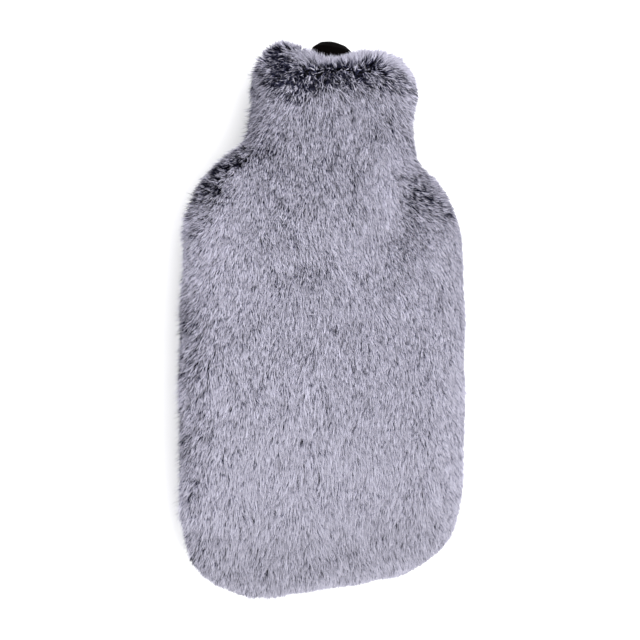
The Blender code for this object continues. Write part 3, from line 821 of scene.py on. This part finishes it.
def pile_mesh(name, place, middle, tip, across, width, tone, middle_v, tip_v, look):
    """One joined mesh of kite-shaped strands, bent at their widest point."""
    count = len(place)
    left = middle - across * width[:, None] / 2
    right = middle + across * width[:, None] / 2
    points = np.stack([place, left, right, tip], axis=1).reshape(-1, 3)
    points[:, 2] = np.maximum(points[:, 2], FLOOR_GAP)
    corner = np.array([0, 2, 1, 1, 2, 3])
    loops = (np.arange(count)[:, None] * 4 + corner).reshape(-1)

    u = MAP_EDGE + (1 - 2 * MAP_EDGE - TONE_WIDTH) * tone
    root_v = np.full(count, ROOT_COLOUR)
    us = np.stack([u + TONE_WIDTH / 2, u, u + TONE_WIDTH, u + TONE_WIDTH / 2], axis=1)
    vs = np.stack([root_v, middle_v, middle_v, tip_v], axis=1)
    uv = np.stack([us, vs], axis=2)[:, corner].reshape(-1, 2)

    mesh = bpy.data.meshes.new(name)
    mesh.vertices.add(len(points))
    mesh.vertices.foreach_set("co", points.astype(np.float32).reshape(-1))
    mesh.loops.add(len(loops))
    mesh.loops.foreach_set("vertex_index", loops.astype(np.int32))
    mesh.polygons.add(2 * count)
    starts = np.arange(0, 6 * count, 3, dtype=np.int32)
    mesh.polygons.foreach_set("loop_start", starts)
    mesh.polygons.foreach_set("loop_total", np.full(2 * count, 3, np.int32))
    mesh.polygons.foreach_set("use_smooth", np.ones(2 * count, bool))
    layer = mesh.uv_layers.new(name="OFBake")
    layer.data.foreach_set("uv", uv.astype(np.float32).reshape(-1))
    mesh.update(calc_edges=True)
    mesh.materials.append(look)
    return add_to_scene(name, mesh)


def fur_look():
    """Frosted fur: dark at the root, pale at the tip, each strand with its own tone."""
    values = {"Roughness": 0.62, "Specular IOR Level": 0.01}
    look, nodes, links, shader = new_look("fur_pile", values)
    where = nodes.new("ShaderNodeUVMap")
    where.uv_map = "OFBake"
    split = nodes.new("ShaderNodeSeparateXYZ")
    links.new(where.outputs["UV"], split.inputs["Vector"])
    ramp = nodes.new("ShaderNodeValToRGB")
    stops = (
        (0.00, (0.0006, 0.0006, 0.0012)),
        (0.45, (0.0015, 0.0015, 0.0040)),
        (0.60, (0.047, 0.048, 0.090)),
        (0.72, (0.46, 0.45, 0.55)),
        (1.00, (0.70, 0.685, 0.795)),
    )
    while len(ramp.color_ramp.elements) < len(stops):
        ramp.color_ramp.elements.new(0.5)
    for element, (at, colour) in zip(ramp.color_ramp.elements, stops):
        element.position = at
        element.color = (*colour, 1)
    links.new(split.outputs["Y"], ramp.inputs["Fac"])
    bright = nodes.new("ShaderNodeMapRange")
    bright.inputs["To Min"].default_value = 0.42
    bright.inputs["To Max"].default_value = 1.20
    links.new(split.outputs["X"], bright.inputs["Value"])
    scaled = nodes.new("ShaderNodeVectorMath")
    scaled.operation = "SCALE"
    links.new(ramp.outputs["Color"], scaled.inputs[0])
    links.new(bright.outputs["Result"], scaled.inputs["Scale"])
    links.new(scaled.outputs["Vector"], shader.inputs["Base Color"])
    return look


def add_bump(nodes, links, height, shader, distance, strength):
    bump = nodes.new("ShaderNodeBump")
    bump.inputs["Distance"].default_value = distance
    bump.inputs["Strength"].default_value = strength
    links.new(height, bump.inputs["Height"])
    links.new(bump.outputs["Normal"], shader.inputs["Normal"])


def add_ramp(nodes, links, source, low, high):
    """A ramp between two colours, and its output."""
    ramp = nodes.new("ShaderNodeValToRGB")
    for element, colour in zip(ramp.color_ramp.elements, (low, high)):
        element.color = (*colour, 1)
    links.new(source, ramp.inputs["Fac"])
    return ramp.outputs["Color"]


def cloth_look():
    """The knitted back that the pile is set in: near black, with fine courses."""
    look, nodes, links, shader = new_look("fur_cloth", {"Roughness": 0.9})
    where = nodes.new("ShaderNodeTexCoord")
    rows = nodes.new("ShaderNodeTexWave")
    rows.inputs["Scale"].default_value = 180
    rows.inputs["Distortion"].default_value = 1.5
    links.new(where.outputs["Object"], rows.inputs["Vector"])
    low, high = (0.004, 0.004, 0.006), (0.010, 0.010, 0.014)
    colour = add_ramp(nodes, links, rows.outputs["Fac"], low, high)
    links.new(colour, shader.inputs["Base Color"])
    add_bump(nodes, links, rows.outputs["Fac"], shader, 0.0003, 0.6)
    return look


def rubber_look():
    """Smooth black rubber with a soft sheen and a faint grain."""
    look, nodes, links, shader = new_look("rubber", {"Specular IOR Level": 0.01})
    where = nodes.new("ShaderNodeTexCoord")
    grain = nodes.new("ShaderNodeTexNoise")
    grain.inputs["Scale"].default_value = 420
    grain.inputs["Detail"].default_value = 4
    links.new(where.outputs["Object"], grain.inputs["Vector"])
    low, high = (0.0004, 0.0001, 0.0001), (0.0011, 0.0004, 0.0004)
    colour = add_ramp(nodes, links, grain.outputs["Fac"], low, high)
    links.new(colour, shader.inputs["Base Color"])
    rough = nodes.new("ShaderNodeMapRange")
    rough.inputs["To Min"].default_value = 0.48
    rough.inputs["To Max"].default_value = 0.64
    links.new(grain.outputs["Fac"], rough.inputs["Value"])
    links.new(rough.outputs["Result"], shader.inputs["Roughness"])
    add_bump(nodes, links, grain.outputs["Fac"], shader, 0.0001, 0.4)
    return look


def cloth_piece(name, surface, faces, look):
    """The knitted cloth under the pile."""
    mesh = bpy.data.meshes.new(name)
    mesh.from_pydata(surface.tolist(), [], faces.tolist())
    mesh.update()
    mesh.shade_smooth()
    mesh.materials.append(look)
    piece = add_to_scene(name, mesh)
    thick = piece.modifiers.new("thickness", "SOLIDIFY")
    thick.thickness = CLOTH
    thick.offset = -1
    return piece


def dress(name, strand_count, bands, cloth, fur, seed):
    """The cloth and pile of one panel. bands cut the pile into pieces along Y."""
    draw = np.random.default_rng(seed)
    surface, normals, faces, measures = cloth_surface(f"{name}_panel")
    piece = cloth_piece(f"{name}_cloth", surface, faces, cloth)
    facing, _ = face_normals(surface, faces)
    weight = np.where(facing[:, 2] < UNDERSIDE_FACING, UNDERSIDE_PILE, 1.0)
    body = strands(surface, normals, faces, measures, strand_count, weight, draw)
    rim = edge_strands(surface, normals, faces, True, RIM_STRANDS, draw)
    seam = edge_strands(surface, normals, faces, False, SEAM_STRANDS, draw)
    every = [np.concatenate(parts) for parts in zip(body, rim, seam)]
    order = np.argsort(every[0][:, 1], kind="stable")
    piles = [
        pile_mesh(f"{name}_pile_{i + 1}", *(values[part] for values in every), fur)
        for i, part in enumerate(np.array_split(order, bands))
    ]
    for each in [piece, *piles]:
        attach(each, "root")
        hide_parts(f"{name}_panel")
    return piece, piles


add_camera()
add_stage()
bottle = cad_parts["bottle"]
for slot in bottle.material_slots:
    slot.material = rubber_look()

looks = {"cloth": cloth_look(), "fur": fur_look()}
front, front_piles = dress("front", FRONT_STRANDS, bands=4, seed=21, **looks)
back, back_piles = dress("back", BACK_STRANDS, bands=2, seed=22, **looks)
